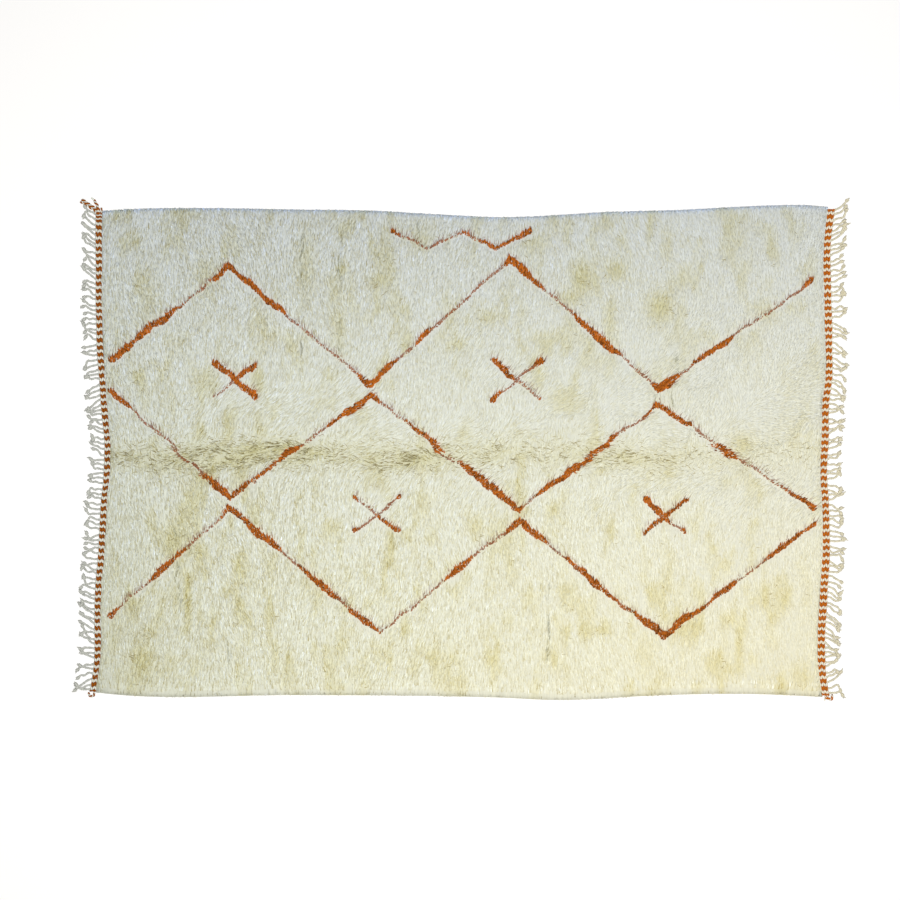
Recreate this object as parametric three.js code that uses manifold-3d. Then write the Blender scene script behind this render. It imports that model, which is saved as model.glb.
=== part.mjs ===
// A shaggy wool rug lying flat: knotted pile, a twined band along each short end and a knotted warp
// fringe beyond each band. Millimetres, +X along the rug, +Y across it, +Z up, floor at zero.
import * as THREE from 'three';
import { mergeVertices } from 'three/addons/utils/BufferGeometryUtils.js';
import Module from 'manifold-3d';

const wasm = await Module();
wasm.setup();

// Pile
const PILE_TOP = 21;              // trampled wool above the floor, ground weave included
const PILE_LUMP = 2.2;            // how far its surface rises and dips
const PILE_END = 13;              // height where it meets a twined band
const RUFFLE_TOP = 2.4;           // extra height of the ruffled line along the middle
const RUFFLE_WIDTH = 75;
const RUFFLE_Y = -30;
const LOCKS_PER_EDGE = 50;        // locks of wool along each long edge
const LOCK_REACH = 9;
const LOCK_TIP = 7;               // height of a lock's tip above the floor
const GAP = 0.3;                  // between pieces that touch

// Twined bands
const BLOCKS = 73;                // rust wraps along each band
const BAND_TOP = { left: 9, right: 10 };
const BAND_WIDTH = { left: 27, right: 32 };
const BAND_GROOVE = 2.5;          // a pale wrap lies this much lower than a rust one

// Warp fringes
const STRANDS = 96;               // knotted warp ends in each fringe
const HEM_WIDTH = 5;              // the narrow strip that they leave
const HEM_TOP = 4;
const STRAND_WIDTH = 6.5;
const STRAND_TOP = 6;
const KNOT_WIDTH = 12;
const KNOT_TOP = 10;

// The long edges, as the distance across the rug at places along it
const FAR_EDGE = [[-1500, 984], [-1360, 994], [-1030, 998], [-660, 992], [-330, 986], [-130, 974],
  [160, 961], [320, 966], [570, 981], [890, 990], [1220, 1007], [1430, 1009], [1500, 1002]];
const NEAR_EDGE = [[-1500, -982], [-1400, -992], [-660, -994], [-90, -998], [160, -1004],
  [400, -1014], [530, -1011], [730, -999], [980, -990], [1220, -990], [1500, -1002]];

// The middle of each twined band, as its place along the rug at distances across it
const LEFT_BAND = [[-985, -1512], [-930, -1503], [-850, -1494], [-605, -1492], [-440, -1480],
  [-280, -1470], [-195, -1466], [-110, -1456], [-30, -1452], [50, -1453], [130, -1460],
  [300, -1474], [460, -1484], [700, -1487], [990, -1488]];
const RIGHT_BAND = [[-1003, 1492], [-930, 1478], [-770, 1472], [-605, 1480], [-440, 1490],
  [-195, 1486], [-110, 1480], [50, 1486], [215, 1490], [300, 1500], [460, 1501], [625, 1498],
  [830, 1494], [950, 1505], [1003, 1513]];

// How far a strand's tip swings across the rug, and its length, at distances across the rug
const LEFT_SWING = [[-985, -14], [-860, 0], [-700, 38], [-560, 16], [-380, 10], [-200, 6],
  [-60, 10], [80, 22], [190, -22], [330, -14], [480, 2], [640, 20], [800, 36], [985, 30]];
const RIGHT_SWING = [[-995, -8], [-900, 26], [-760, -34], [-520, -18], [-300, -8], [-60, 2],
  [130, 14], [300, -26], [470, -18], [640, 8], [820, 26], [995, 34]];
const LEFT_LENGTH = [[-985, 70], [-800, 64], [-400, 64], [0, 58], [400, 58], [985, 54]];
const RIGHT_LENGTH = [[-995, 60], [-500, 58], [0, 60], [600, 58], [985, 62]];

// Loose ends of the bands, each from its root outwards
const LONG_TAIL = [[-1486, 974], [-1492, 994], [-1514, 1008], [-1536, 1022], [-1560, 1038]];
const LONG_TAIL_SPLIT = [[-1540, 1023], [-1556, 1027], [-1568, 1028]];
const SHORT_TAIL = [[-1486, 980], [-1490, 1005], [-1500, 1028], [-1515, 1043]];
const STUB = [[-1480, 984], [-1478, 994], [-1476, 1004]];
const LEFT_CURL = [[-1505, -976], [-1506, -992], [-1516, -1001], [-1530, -998]];
const RIGHT_CURL = [[1492, -988], [1496, -1008], [1508, -1016], [1518, -1008]];
const RIGHT_TIP = [[1492, -994], [1487, -1006], [1484, -1016]];

const WOOL = new THREE.MeshStandardMaterial({ color: 0xe6e2cc, roughness: 0.95, metalness: 0 });
const RUST = new THREE.MeshStandardMaterial({ color: 0xbe5a1c, roughness: 0.9, metalness: 0 });
const WARP = new THREE.MeshStandardMaterial({ color: 0xd2ccb2, roughness: 0.9, metalness: 0 });

const COLUMNS = 2 * LOCKS_PER_EDGE;
const ROWS = [0, 0.014, 0.07, 0.14, 0.21, 0.28, 0.35, 0.41, 0.45, 0.47, 0.49, 0.51, 0.55, 0.61,
  0.68, 0.75, 0.82, 0.89, 0.95, 0.986, 1];

const lerp = THREE.MathUtils.lerp;

function curveThrough(points, Interpolant = THREE.CubicInterpolant) {
  const spline = new Interpolant(points.map((p) => p[0]), points.map((p) => p[1]), 1);
  return (place) => spline.evaluate(place)[0];
}

// A repeatable number from 0 to 1 for a count and a purpose
function chance(count, purpose) {
  const value = Math.sin(count * 12.9898 + purpose * 78.233) * 43758.5453;
  return value - Math.floor(value);
}

const farEdge = curveThrough(FAR_EDGE);
const nearEdge = curveThrough(NEAR_EDGE);

// One short end of the rug. All its pieces follow the same straight runs from row to row, so the
// gaps between them stay even.
function makeEnd(side, outward, bandMiddle) {
  const middle = curveThrough(bandMiddle);
  const corner = outward * 1485;
  const stations = ROWS.map((v) => lerp(nearEdge(corner), farEdge(corner), v));
  const line = curveThrough(stations.map((y) => [y, middle(y)]), THREE.LinearInterpolant);
  const half = BAND_WIDTH[side] / 2;
  return {
    side, outward, stations, line,
    pileEnd: (y) => line(y) - outward * (half + GAP),
    bandInner: (y) => line(y) - outward * half,
    bandOuter: (y) => line(y) + outward * half,
    hemInner: (y) => line(y) + outward * (half + GAP),
    hemOuter: (y) => line(y) + outward * (half + GAP + HEM_WIDTH),
  };
}

const left = makeEnd('left', -1, LEFT_BAND);
const right = makeEnd('right', 1, RIGHT_BAND);

// Height of the trampled pile, with its soft lumps and the ruffled line along the middle
function pileHeight(x, y) {
  const broad = Math.sin(x / 131 + 1.3 * Math.sin(y / 170)) * Math.cos(y / 118 + x / 400);
  const small = Math.sin(x / 43 + 2 * Math.sin(y / 61)) * Math.sin(y / 52 + 0.7);
  const across = (y - RUFFLE_Y - 12 * Math.sin(x / 160)) / RUFFLE_WIDTH;
  const ruffle = RUFFLE_TOP * Math.exp(-across * across) * (0.6 + 0.4 * Math.sin(x / 29));
  return PILE_TOP + PILE_LUMP * (0.6 * broad + 0.4 * small) + ruffle;
}

// A point of the pile's upper face: its column and row give its place and height
function pilePoint(column, row) {
  const u = column / COLUMNS;
  const v = ROWS[row];
  const along = lerp(-1485, 1485, u);
  let y = lerp(nearEdge(along), farEdge(along), v);
  const onLongEdge = row === 0 || row === ROWS.length - 1;
  const onShortEnd = column === 0 || column === COLUMNS;
  const tip = onLongEdge && column % 2 === 1;
  if (onLongEdge) {
    const reach = tip ? LOCK_REACH * (0.1 + 0.4 * chance(column, row)) : -LOCK_REACH / 2;
    y += row === 0 ? -reach : reach;
  }
  const x = lerp(left.pileEnd(y), right.pileEnd(y), u);
  if (tip) return [x, y, LOCK_TIP];
  return [x, y, onLongEdge || onShortEnd ? PILE_END : pileHeight(x, y)];
}

// The pile: a grid of lumps on top, a flat underside, and walls down to the floor between them
function pileGeometry() {
  const lastRow = ROWS.length - 1;
  const grid = new THREE.PlaneGeometry(1, 1, COLUMNS, lastRow);
  const points = [];
  for (let row = lastRow; row >= 0; row -= 1) {
    for (let column = 0; column <= COLUMNS; column += 1) points.push(pilePoint(column, row));
  }
  const at = (column, row) => column + (COLUMNS + 1) * (lastRow - row);
  const border = [];
  for (let column = 0; column < COLUMNS; column += 1) border.push(at(column, 0));
  for (let row = 0; row < lastRow; row += 1) border.push(at(COLUMNS, row));
  for (let column = COLUMNS; column > 0; column -= 1) border.push(at(column, lastRow));
  for (let row = lastRow; row > 0; row -= 1) border.push(at(0, row));

  const floor = points.length;
  const outline = border.map((index) => new THREE.Vector2(points[index][0], points[index][1]));
  outline.forEach((corner) => points.push([corner.x, corner.y, 0]));
  const faces = Array.from(grid.index.array);
  border.forEach((upper, i) => {
    const next = (i + 1) % border.length;
    faces.push(floor + i, floor + next, border[next], floor + i, border[next], upper);
  });
  THREE.ShapeUtils.triangulateShape(outline, []).forEach(([a, b, c]) => {
    faces.push(floor + c, floor + b, floor + a);
  });
  const geometry = new THREE.BufferGeometry();
  geometry.setAttribute('position', new THREE.Float32BufferAttribute(points.flat(), 3));
  geometry.setIndex(faces);
  return geometry;
}

function bare(geometry) {
  geometry.deleteAttribute('normal');
  geometry.deleteAttribute('uv');
  return mergeVertices(geometry);
}

// A strip that follows one end of the rug between two lines, with a section at each place given
function strip(end, inner, outer, places, topAt) {
  const [low, high] = end.outward < 0 ? [outer, inner] : [inner, outer];
  const sections = places.length - 1;
  const geometry = bare(new THREE.BoxGeometry(1, 1, 1, 1, sections, 1));
  const position = geometry.attributes.position;
  for (let i = 0; i < position.count; i += 1) {
    const section = Math.round((position.getY(i) + 0.5) * sections);
    const y = places[section];
    const x = lerp(low(y), high(y), position.getX(i) + 0.5);
    position.setXYZ(i, x, y, position.getZ(i) > 0 ? topAt(section) : 0);
  }
  return geometry;
}

// A strand that rests on the floor: a three-sided rod bent along a level curve
function restingStrand(curve, steps, widthAt, topAt) {
  const geometry = bare(new THREE.CylinderGeometry(1, 1, 1, 3, steps));
  const position = geometry.attributes.position;
  const reach = Math.sin(Math.PI / 3);
  for (let i = 0; i < position.count; i += 1) {
    const t = position.getY(i) + 0.5;
    const middle = curve.getPoint(t);
    const ahead = curve.getTangent(t);
    const sideways = position.getX(i) / reach * widthAt(t) / 2;
    const height = (position.getZ(i) + 0.5) / 1.5 * topAt(t);
    position.setXYZ(i, middle.x + ahead.y * sideways, middle.y - ahead.x * sideways, height);
  }
  return geometry;
}

function levelCurve(points) {
  return new THREE.SplineCurve(points.map((p) => new THREE.Vector2(p[0], p[1])));
}

function solid(geometry) {
  return new wasm.Manifold(new wasm.Mesh({
    numProp: 3,
    vertProperties: new Float32Array(geometry.attributes.position.array),
    triVerts: new Uint32Array(geometry.index.array),
  }));
}

function joined(geometries) {
  const whole = geometries.map(solid).reduce((sum, piece) => sum.add(piece));
  const mesh = whole.getMesh();
  const geometry = new THREE.BufferGeometry();
  geometry.setAttribute('position', new THREE.BufferAttribute(mesh.vertProperties, 3));
  geometry.setIndex(new THREE.BufferAttribute(mesh.triVerts, 1));
  return geometry;
}

// The warp ends of one short end, rooted in the narrow strip outside its band. A strand runs
// straight out, swings to its tip and ends in a knot with a short tuft.
function fringeGeometry(end, swingTable, lengthTable) {
  const swing = curveThrough(swingTable);
  const length = curveThrough(lengthTable);
  const first = end.stations[0] + KNOT_WIDTH / 2;
  const last = end.stations.at(-1) - KNOT_WIDTH / 2;
  const widths = curveThrough([[0, STRAND_WIDTH], [0.5, STRAND_WIDTH * 0.9], [0.75, KNOT_WIDTH],
    [1, STRAND_WIDTH * 0.7]], THREE.LinearInterpolant);
  const tops = curveThrough([[0, STRAND_TOP], [0.5, STRAND_TOP], [0.75, KNOT_TOP],
    [1, STRAND_TOP * 0.6]], THREE.LinearInterpolant);
  const strands = [];
  for (let i = 0; i < STRANDS; i += 1) {
    const y = lerp(first, last, (i + 0.5) / STRANDS);
    const reach = length(y) * (0.9 + 0.2 * chance(i, end.outward));
    const tipY = y + swing(y) + 4 * Math.sin(1.9 * i);
    const root = end.hemOuter(y);
    const away = (share) => root + end.outward * share * reach;
    const curve = levelCurve([[away(-0.04), y], [away(0.28), lerp(y, tipY, 0.2)],
      [away(0.6), lerp(y, tipY, 0.55)], [away(0.84), lerp(y, tipY, 0.85)], [away(1), tipY]]);
    strands.push(restingStrand(curve, 4, widths, tops));
  }
  const hem = strip(end, end.hemInner, end.hemOuter, end.stations, () => HEM_TOP);
  return joined([hem, ...strands]);
}

// A loose end of twined cord, a little thinner towards its tip
function tail(points, width, top) {
  const taper = (t) => 1 - 0.35 * t;
  return restingStrand(levelCurve(points), 2 * points.length, (t) => width * taper(t),
    (t) => top * taper(t));
}

// A twined band: every second section stands up as a rust wrap
function bandGeometry(end, tails) {
  const first = end.stations[0];
  const last = end.stations.at(-1);
  const sections = 2 * BLOCKS;
  const places = Array.from({ length: sections + 1 }, (_, i) => lerp(first, last, i / sections));
  const top = BAND_TOP[end.side];
  const body = strip(end, end.bandInner, end.bandOuter, places,
    (section) => (section % 2 === 0 ? top - BAND_GROOVE : top));
  return joined([body, ...tails]);
}

const rug = new THREE.Group();

function add(name, geometry, material) {
  const mesh = new THREE.Mesh(geometry, material);
  mesh.name = name;
  rug.add(mesh);
}

add('pile', pileGeometry(), WOOL);
add('twined_band_left', bandGeometry(left, [
  tail(LONG_TAIL, 17, 9), tail(LONG_TAIL_SPLIT, 9, 7), tail(SHORT_TAIL, 13, 8), tail(STUB, 9, 7),
  tail(LEFT_CURL, 11, 10),
]), RUST);
add('twined_band_right', bandGeometry(right, [
  tail(RIGHT_CURL, 12, 11), tail(RIGHT_TIP, 8, 7),
]), RUST);
add('fringe_left', fringeGeometry(left, LEFT_SWING, LEFT_LENGTH), WARP);
add('fringe_right', fringeGeometry(right, RIGHT_SWING, RIGHT_LENGTH), WARP);

// The whole rug is centred over the origin and rests on the floor
const box = new THREE.Box3().setFromObject(rug);
const centre = box.getCenter(new THREE.Vector3());
rug.position.set(-centre.x, -centre.y, -box.min.z);

export default rug;
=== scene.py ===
# %% [markdown]
# # A shaggy wool rug
# The rug lies flat: a thick knotted pile with thin rust lines, a twined band of rust and cream
# yarn along each short end, and a knotted warp fringe beyond it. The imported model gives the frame,
# in metres, and everything here is made in that frame.


# %% Load the frame
from functools import partial

import bmesh
import bpy
import numpy as np
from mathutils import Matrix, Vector


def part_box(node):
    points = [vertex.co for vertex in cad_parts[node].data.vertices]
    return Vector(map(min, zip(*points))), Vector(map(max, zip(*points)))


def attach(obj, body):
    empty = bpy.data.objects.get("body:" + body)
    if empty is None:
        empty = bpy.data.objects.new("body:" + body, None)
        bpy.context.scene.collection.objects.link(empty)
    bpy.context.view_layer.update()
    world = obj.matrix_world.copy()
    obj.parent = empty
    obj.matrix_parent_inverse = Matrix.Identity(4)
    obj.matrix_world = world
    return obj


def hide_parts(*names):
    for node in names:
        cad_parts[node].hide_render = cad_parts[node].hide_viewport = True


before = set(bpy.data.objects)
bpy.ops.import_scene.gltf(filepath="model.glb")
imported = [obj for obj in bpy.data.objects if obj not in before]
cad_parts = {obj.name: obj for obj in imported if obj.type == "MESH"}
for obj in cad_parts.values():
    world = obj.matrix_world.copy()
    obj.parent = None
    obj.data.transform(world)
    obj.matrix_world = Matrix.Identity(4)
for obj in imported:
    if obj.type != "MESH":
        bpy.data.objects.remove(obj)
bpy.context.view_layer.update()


# %% [markdown]
# ## The outline
# A hand-woven rug is never square. A plain rectangle would look machine-made, and a dense outline
# would be hard to change, so the long edges and the two bands are a few points with a smooth curve
# through them, the same points that the solids were made from.

# %% Edges and bands
# A row is a place along the edge or band, and how far out it lies there.
FAR_EDGE = [(-1.5, 0.984), (-1.36, 0.994), (-1.03, 0.998), (-0.66, 0.992), (-0.33, 0.986),
            (-0.13, 0.974), (0.16, 0.961), (0.32, 0.966), (0.57, 0.981), (0.89, 0.99),
            (1.22, 1.007), (1.43, 1.009), (1.5, 1.002)]
NEAR_EDGE = [(-1.5, -0.982), (-1.4, -0.992), (-0.66, -0.994), (-0.09, -0.998), (0.16, -1.004),
             (0.4, -1.014), (0.53, -1.011), (0.73, -0.999), (0.98, -0.99), (1.22, -0.99),
             (1.5, -1.002)]
LEFT_BAND = [(-0.985, -1.512), (-0.93, -1.503), (-0.85, -1.494), (-0.605, -1.492),
             (-0.44, -1.48), (-0.28, -1.47), (-0.195, -1.466), (-0.11, -1.456), (-0.03, -1.452),
             (0.05, -1.453), (0.13, -1.46), (0.3, -1.474), (0.46, -1.484), (0.7, -1.487),
             (0.99, -1.488)]
RIGHT_BAND = [(-1.003, 1.492), (-0.93, 1.478), (-0.77, 1.472), (-0.605, 1.48), (-0.44, 1.49),
              (-0.195, 1.486), (-0.11, 1.48), (0.05, 1.486), (0.215, 1.49), (0.3, 1.5),
              (0.46, 1.501), (0.625, 1.498), (0.83, 1.494), (0.95, 1.505), (1.003, 1.513)]
LEFT_WIDTH = 0.027
RIGHT_WIDTH = 0.032
PILE_LENGTH = 2.97


def curve_through(table):
    """A smooth curve through (place, value) points, as a function of the place."""
    places, values = np.array(table, float).T
    slopes = np.gradient(values, places)

    def at(place):
        p = np.clip(place, places[0], places[-1])
        i = np.clip(np.searchsorted(places, p, side="right") - 1, 0, len(places) - 2)
        step = places[i + 1] - places[i]
        t = (p - places[i]) / step
        rise = values[i] * (1 + 2 * t) * (1 - t) ** 2 + values[i + 1] * t * t * (3 - 2 * t)
        bend = slopes[i] * t * (1 - t) ** 2 - slopes[i + 1] * t * t * (1 - t)
        return rise + step * bend

    return at


far_edge = curve_through(FAR_EDGE)
near_edge = curve_through(NEAR_EDGE)
left_band = curve_through(LEFT_BAND)
right_band = curve_through(RIGHT_BAND)


def pile_left(y):
    return left_band(y) + LEFT_WIDTH / 2


def pile_right(y):
    return right_band(y) - RIGHT_WIDTH / 2


def on_pile(u, v):
    """The drawn place of a share u along the pile and v across it."""
    along = PILE_LENGTH * (u - 0.5)
    y = near_edge(along) + (far_edge(along) - near_edge(along)) * v
    x = pile_left(y) + (pile_right(y) - pile_left(y)) * u
    return x, y


shares = np.linspace(0, 1, 400)
drawn = np.concatenate([np.stack(on_pile(shares, 0 * shares + v), 1) for v in (0, 1)]
                       + [np.stack(on_pile(0 * shares + u, shares), 1) for u in (0, 1)])
pile_low, pile_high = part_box("pile")
SHIFT = (np.array(pile_low + pile_high)[:2] - drawn.min(0) - drawn.max(0)) / 2
print("The drawing's zero lies at", SHIFT.round(4), "in the frame")


# %% [markdown]
# ## Chance that repeats
# Wool is never even, so many things below vary at random. Every random number comes from a seeded
# generator, so the rug is the same each time. Plain random numbers flicker from lock to lock, so
# whatever should change slowly is read from soft noise: a coarse net of random values with smooth
# hills between them.

# %% Soft noise
def smooth(t):
    return t * t * (3 - 2 * t)


def soft_noise(x, y, size_x, size_y, seed):
    """Smooth random values from -1 to 1, with hills about one size across."""
    net = np.random.default_rng(seed).uniform(-1, 1, (int(5 / size_x) + 3, int(4 / size_y) + 3))
    gx, gy = (x + 2.4) / size_x, (y + 1.9) / size_y
    ix, iy = np.floor(gx).astype(int), np.floor(gy).astype(int)
    fx, fy = smooth(gx - ix), smooth(gy - iy)
    low = net[ix, iy] * (1 - fx) + net[ix + 1, iy] * fx
    high = net[ix, iy + 1] * (1 - fx) + net[ix + 1, iy + 1] * fx
    return low * (1 - fy) + high * fy


some_x = np.linspace(-1, 1, 200)
some_noise = soft_noise(some_x, 0 * some_x, 0.1, 0.1, 1)
print("Soft noise runs from", some_noise.min().round(2), "to", some_noise.max().round(2))


# %% [markdown]
# ## The line ornament
# The lines are knots of rust wool among the ivory ones, not paint, so the pile asks each knot how
# rusty it is. The ornament is a plain trellis of large lozenges with small crosses, a traditional
# form. Its lines wander, swell to a few knots and thin out to almost nothing, as lines knotted by
# eye do.

# %% Lines of rust knots
TRELLIS = [
    [(-1.44, 0.37), (-0.95, 0.75), (-0.38, 0.27), (0.2, 0.78), (0.8, 0.25), (1.43, 0.69)],
    [(-1.43, 0.24), (-0.95, -0.19), (-0.38, 0.23), (0.23, -0.24), (0.8, 0.19), (1.43, -0.23)],
    [(-1.44, -0.68), (-0.95, -0.24), (-0.34, -0.75), (0.23, -0.29), (0.82, -0.76), (1.44, -0.3)],
]
# A row is a cross's middle, along and across, and half an arm.
CROSSES = [(-0.93, 0.29, 0.085), (0.22, 0.29, 0.1), (-0.35, -0.26, 0.09), (0.83, -0.27, 0.085)]
WAVE = [(-0.28 + 0.14 * i, 0.86 + 0.035 * (-1) ** i) for i in range(5)]
LINE_THIN = 0.0075
LINE_THICK = 0.025
LINE_HALO = 0.005


def strokes():
    """Each line as its points and how heavy it is."""
    for line in TRELLIS:
        yield line, 1.0
    yield WAVE, 0.7
    for x, y, arm in CROSSES:
        yield [(x - arm, y - arm * 0.8), (x + arm, y + arm * 0.75)], 0.8
        yield [(x - arm, y + arm * 0.8), (x + arm * 0.95, y - arm * 0.8)], 0.8


def rust_share(x, y):
    """How rusty a knot rooted at each place is, from 0 to 1."""
    wander_x = x + 0.006 * soft_noise(x, y, 0.06, 0.06, 11)
    wander_y = y + 0.008 * soft_noise(x, y, 0.05, 0.05, 12)
    ragged = 1 + 0.4 * soft_noise(x, y, 0.02, 0.02, 13)
    share = np.zeros_like(x)
    for number, (line, weight) in enumerate(strokes()):
        run = 0.0
        for (ax, ay), (bx, by) in zip(line, line[1:]):
            length = np.hypot(bx - ax, by - ay)
            ux, uy = (bx - ax) / length, (by - ay) / length
            s = np.clip((wander_x - ax) * ux + (wander_y - ay) * uy, 0, length)
            off = np.hypot(wander_x - ax - s * ux, wander_y - ay - s * uy)
            # The whole line, shrunk to fit into the net of the noise.
            place = (s + run) * 0.45 - 1.8
            swell = soft_noise(place, 0 * place, 0.045, 1, 30 + number)
            turn = np.exp(-np.minimum(s, length - s) / 0.03)
            heavy = np.clip(0.3 + 1.0 * swell + 0.35 * turn, 0, 1)
            width = (LINE_THIN + weight * (LINE_THICK - LINE_THIN) * heavy) * ragged
            strength = np.clip(0.46 + 3.5 * heavy, 0, 1)
            halo = np.clip(1 - (off - width / 2) / LINE_HALO, 0, 1) * 0.3
            share = np.maximum(share, np.where(off < width / 2, strength, halo))
            run += length
    return share


print("The ornament has", len(list(strokes())), "lines")


# %% [markdown]
# ## The wool's tone and lie
# Undyed wool isn't one colour: it is cooler, greyer and darker at one corner and warmer at the
# other, partly the wool's own tone and partly painted shade of light falling off towards the far
# left, with yellowish places where the pile is trodden down. Along the middle runs a ruffled
# crease, and here and there a thread of painted shade stands for a parting in the pile. A painted
# picture could hold all this, but it would blur close up. Fields are better: functions that say
# how the wool is at any place, which the locks and the ground both read.

# %% The ruffle
RUFFLE_STRENGTH = curve_through([(-1.45, 0.45), (-1.2, 1), (-0.6, 1), (-0.45, 0.6), (-0.3, 0.9),
                                 (0.1, 0.65), (0.4, 0.6), (0.7, 0.7), (0.9, 0.4), (1.45, 0.3)])


def ruffle(x, y):
    """The strength of the crease along the middle."""
    middle = -0.015 + 0.014 * np.sin(x / 0.16) + 0.01 * soft_noise(x, 0 * y, 0.1, 1, 20)
    patchy = 0.8 + 0.35 * soft_noise(x, y, 0.07, 0.03, 23)
    return RUFFLE_STRENGTH(x) * patchy * np.exp(-((y - middle) / 0.055) ** 2)


def flow(x, y):
    """In the ruffle the wool lies in waves: the way it lies, and how far across the waves."""
    def wave(x):
        return 0.02 * soft_noise(x, y, 0.07, 0.05, 6) + 0.006 * soft_noise(x, y, 0.028, 0.03, 7)
    return np.arctan2(wave(x + 0.004) - wave(x - 0.004), 0.008), y - wave(x)


print("The ruffle's strength along the rug:",
      RUFFLE_STRENGTH(np.linspace(-1.4, 1.4, 8)).round(2))


# %% Trodden and calm places
# A row is a place along and across the rug, its size along and across, and its strength.
TRODDEN = [(-0.17, 0.86, 0.05, 0.06, 0.7), (-0.33, 0.69, 0.055, 0.035, 0.8),
           (0.49, 0.7, 0.045, 0.08, 1), (0.44, 0.62, 0.06, 0.035, 0.8),
           (0.63, 0.73, 0.05, 0.05, 0.9), (0.81, 0.58, 0.055, 0.07, 1),
           (0.11, 0.54, 0.05, 0.03, 0.7), (-0.02, 0.43, 0.035, 0.03, 0.8),
           (0.4, 0.21, 0.06, 0.04, 0.5), (1.14, 0.03, 0.05, 0.05, 0.7),
           (-1.18, -0.38, 0.05, 0.09, 0.9), (-1.31, -0.87, 0.05, 0.09, 0.8),
           (-1.05, 0.71, 0.05, 0.09, 0.5), (-0.64, 0.75, 0.04, 0.15, 0.6),
           (-0.5, 0.5, 0.03, 0.12, 0.6), (-1.28, 0.62, 0.04, 0.1, 0.5),
           (1.25, 0.56, 0.05, 0.05, 0.6), (1.12, 0.94, 0.06, 0.03, 0.6),
           (0.12, -0.38, 0.025, 0.13, 0.5), (-0.6, -0.54, 0.07, 0.06, 0.4),
           (1.41, -0.93, 0.07, 0.05, 0.6), (0.75, -0.83, 0.04, 0.08, 0.4),
           (-1.06, -0.11, 0.05, 0.04, 0.9)]


def hill(x, y, middle_x, middle_y, size_x, size_y):
    """A smooth hill of height one round a place."""
    return np.exp(-((x - middle_x) / size_x) ** 2 - ((y - middle_y) / size_y) ** 2)


def trodden(x, y):
    """How far the pile is trodden down and yellowed; below zero it is fuller and whiter."""
    worn = 0.6 * soft_noise(x, y, 0.06, 0.13, 21) + 0.5 * soft_noise(x, y, 0.026, 0.055, 22)
    worn = 0.7 * worn + 0.2 * np.clip(worn, 0, 1)
    worn *= 1 - 0.85 * hill(x, y, 1.15, 0.25, 0.4, 0.3)
    worn *= 1 + 0.35 * hill(x, y, -1, -0.6, 0.5, 0.4)
    for px, py, size_x, size_y, strength in TRODDEN:
        spot = strength * hill(x, y, px, py, size_x, size_y)
        worn = np.maximum(worn, spot * (1 + 0.4 * worn))
    worn = worn * np.clip((np.minimum(x - pile_left(y), pile_right(y) - x) - 0.01) / 0.05, 0.1, 1)
    return np.maximum(worn, 0.8 * ruffle(x, y))


def calm(x, y):
    """The pile is smoother towards the right and along the middle of the far half."""
    return np.clip(0.35 + 0.5 * x + 0.35 * np.exp(-((y - 0.25) / 0.35) ** 2), 0, 1)


print(len(TRODDEN), "places are trodden down")


# %% The under-wool's height
GROUND_TOP = 0.0172


def ground_height(x, y, u, v):
    """How high the under-wool stands: lower where it is trodden, and towards the rims."""
    edge = np.minimum(np.minimum(u, 1 - u) * PILE_LENGTH, np.minimum(v * 0.7, 2 * (1 - v)))
    height = GROUND_TOP - 0.003 * np.clip(trodden(x, y), -0.4, 1) + 0.0009 * calm(x, y)
    return height * (0.72 + 0.28 * smooth(np.clip(edge / 0.01, 0, 1)))


print("Untrodden under-wool stands", round(1000 * GROUND_TOP, 1), "mm high")


# %% Partings
# A row is a place along the rug, and where the parting starts and ends across it.
PARTINGS = [(-0.656, 0.3, 0.97), (-0.5, 0.3, 0.97), (-1.164, -0.77, -0.3), (-0.18, 0.79, 0.96),
            (0.115, -0.56, -0.3), (0.353, -1.0, -0.55), (-0.95, -0.98, -0.62), (0.86, 0.1, 0.5)]


def parting(x, y):
    """Nearness to a thread of painted shade, which stands for the shaded roots where the pile parts.
    """
    near = np.zeros_like(x)
    for px, low, high in PARTINGS:
        off = x - px - 0.004 * np.sin(y / 0.03 + 40 * px) + 0.003 * np.sin(y / 0.011)
        inside = np.clip((y - low) / 0.05, 0, 1) * np.clip((high - y) / 0.05, 0, 1)
        broken = np.clip(0.5 + 1.3 * soft_noise(x, y, 0.05, 0.05, 24), 0, 1)
        near = np.maximum(near, inside * broken * np.exp(-(off / 0.0045) ** 2))
    return near


print("The pile parts along", len(PARTINGS), "threads")


# %% The wool's tone
STAIN = np.array([0.125, 0.18, 0.44])


def wool_tone_and_painted_shade(x, y):
    """The ivory wool's colour, in display values from 0 to 1: cool, grey and darker at the far left,
    warm and lighter at the near right, partly the wool's own tone and partly painted shade of
    light falling off towards the far left. Here p runs along the rug and q from its far edge to
    the near one."""
    p = np.clip((x + 1.5) / 3, 0, 1)
    q = np.clip((1 - y) / 2, 0, 1)
    warm = q ** 0.8
    red = 181 - p + 5.2 * q + 16 * q * (1 - q) + 9 * p * (1 - q) - 3 * p * q - 14.7 * p * (1 - p)
    red = red + warm * (10 + 21 * (1 - (1 - p) ** 2.5)) - 9 * q * (1 - p) ** 8
    green = red + 6.7 - 0.6 * p - 2.7 * q - 5.2 * p * q
    blue = red + 8.6 - 0.4 * p - 16.2 * q - 13.5 * p * q - 4 * q * (1 - q)
    return np.stack([red, green, blue], -1) / 255


def to_linear(colour):
    """Display values as the amounts of light that a material takes."""
    return np.where(colour < 0.04045, colour / 12.92, ((colour + 0.055) / 1.055) ** 2.4)


def display_colour(red, green, blue):
    return to_linear(np.array([red, green, blue]) / 255)


left_and_right = wool_tone_and_painted_shade(np.array([-1.4, 1.4]), np.array([0.9, -0.9]))
print("The wool's tone at the far left and the near right:", (255 * left_and_right).round())


# %% [markdown]
# ## Writing a material as a recipe
# A material is a net of small steps. The class below lets the steps be written as sums and
# products, so that a recipe reads like the mix it is. Everything else goes through one method that
# adds any kind of step.

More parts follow.
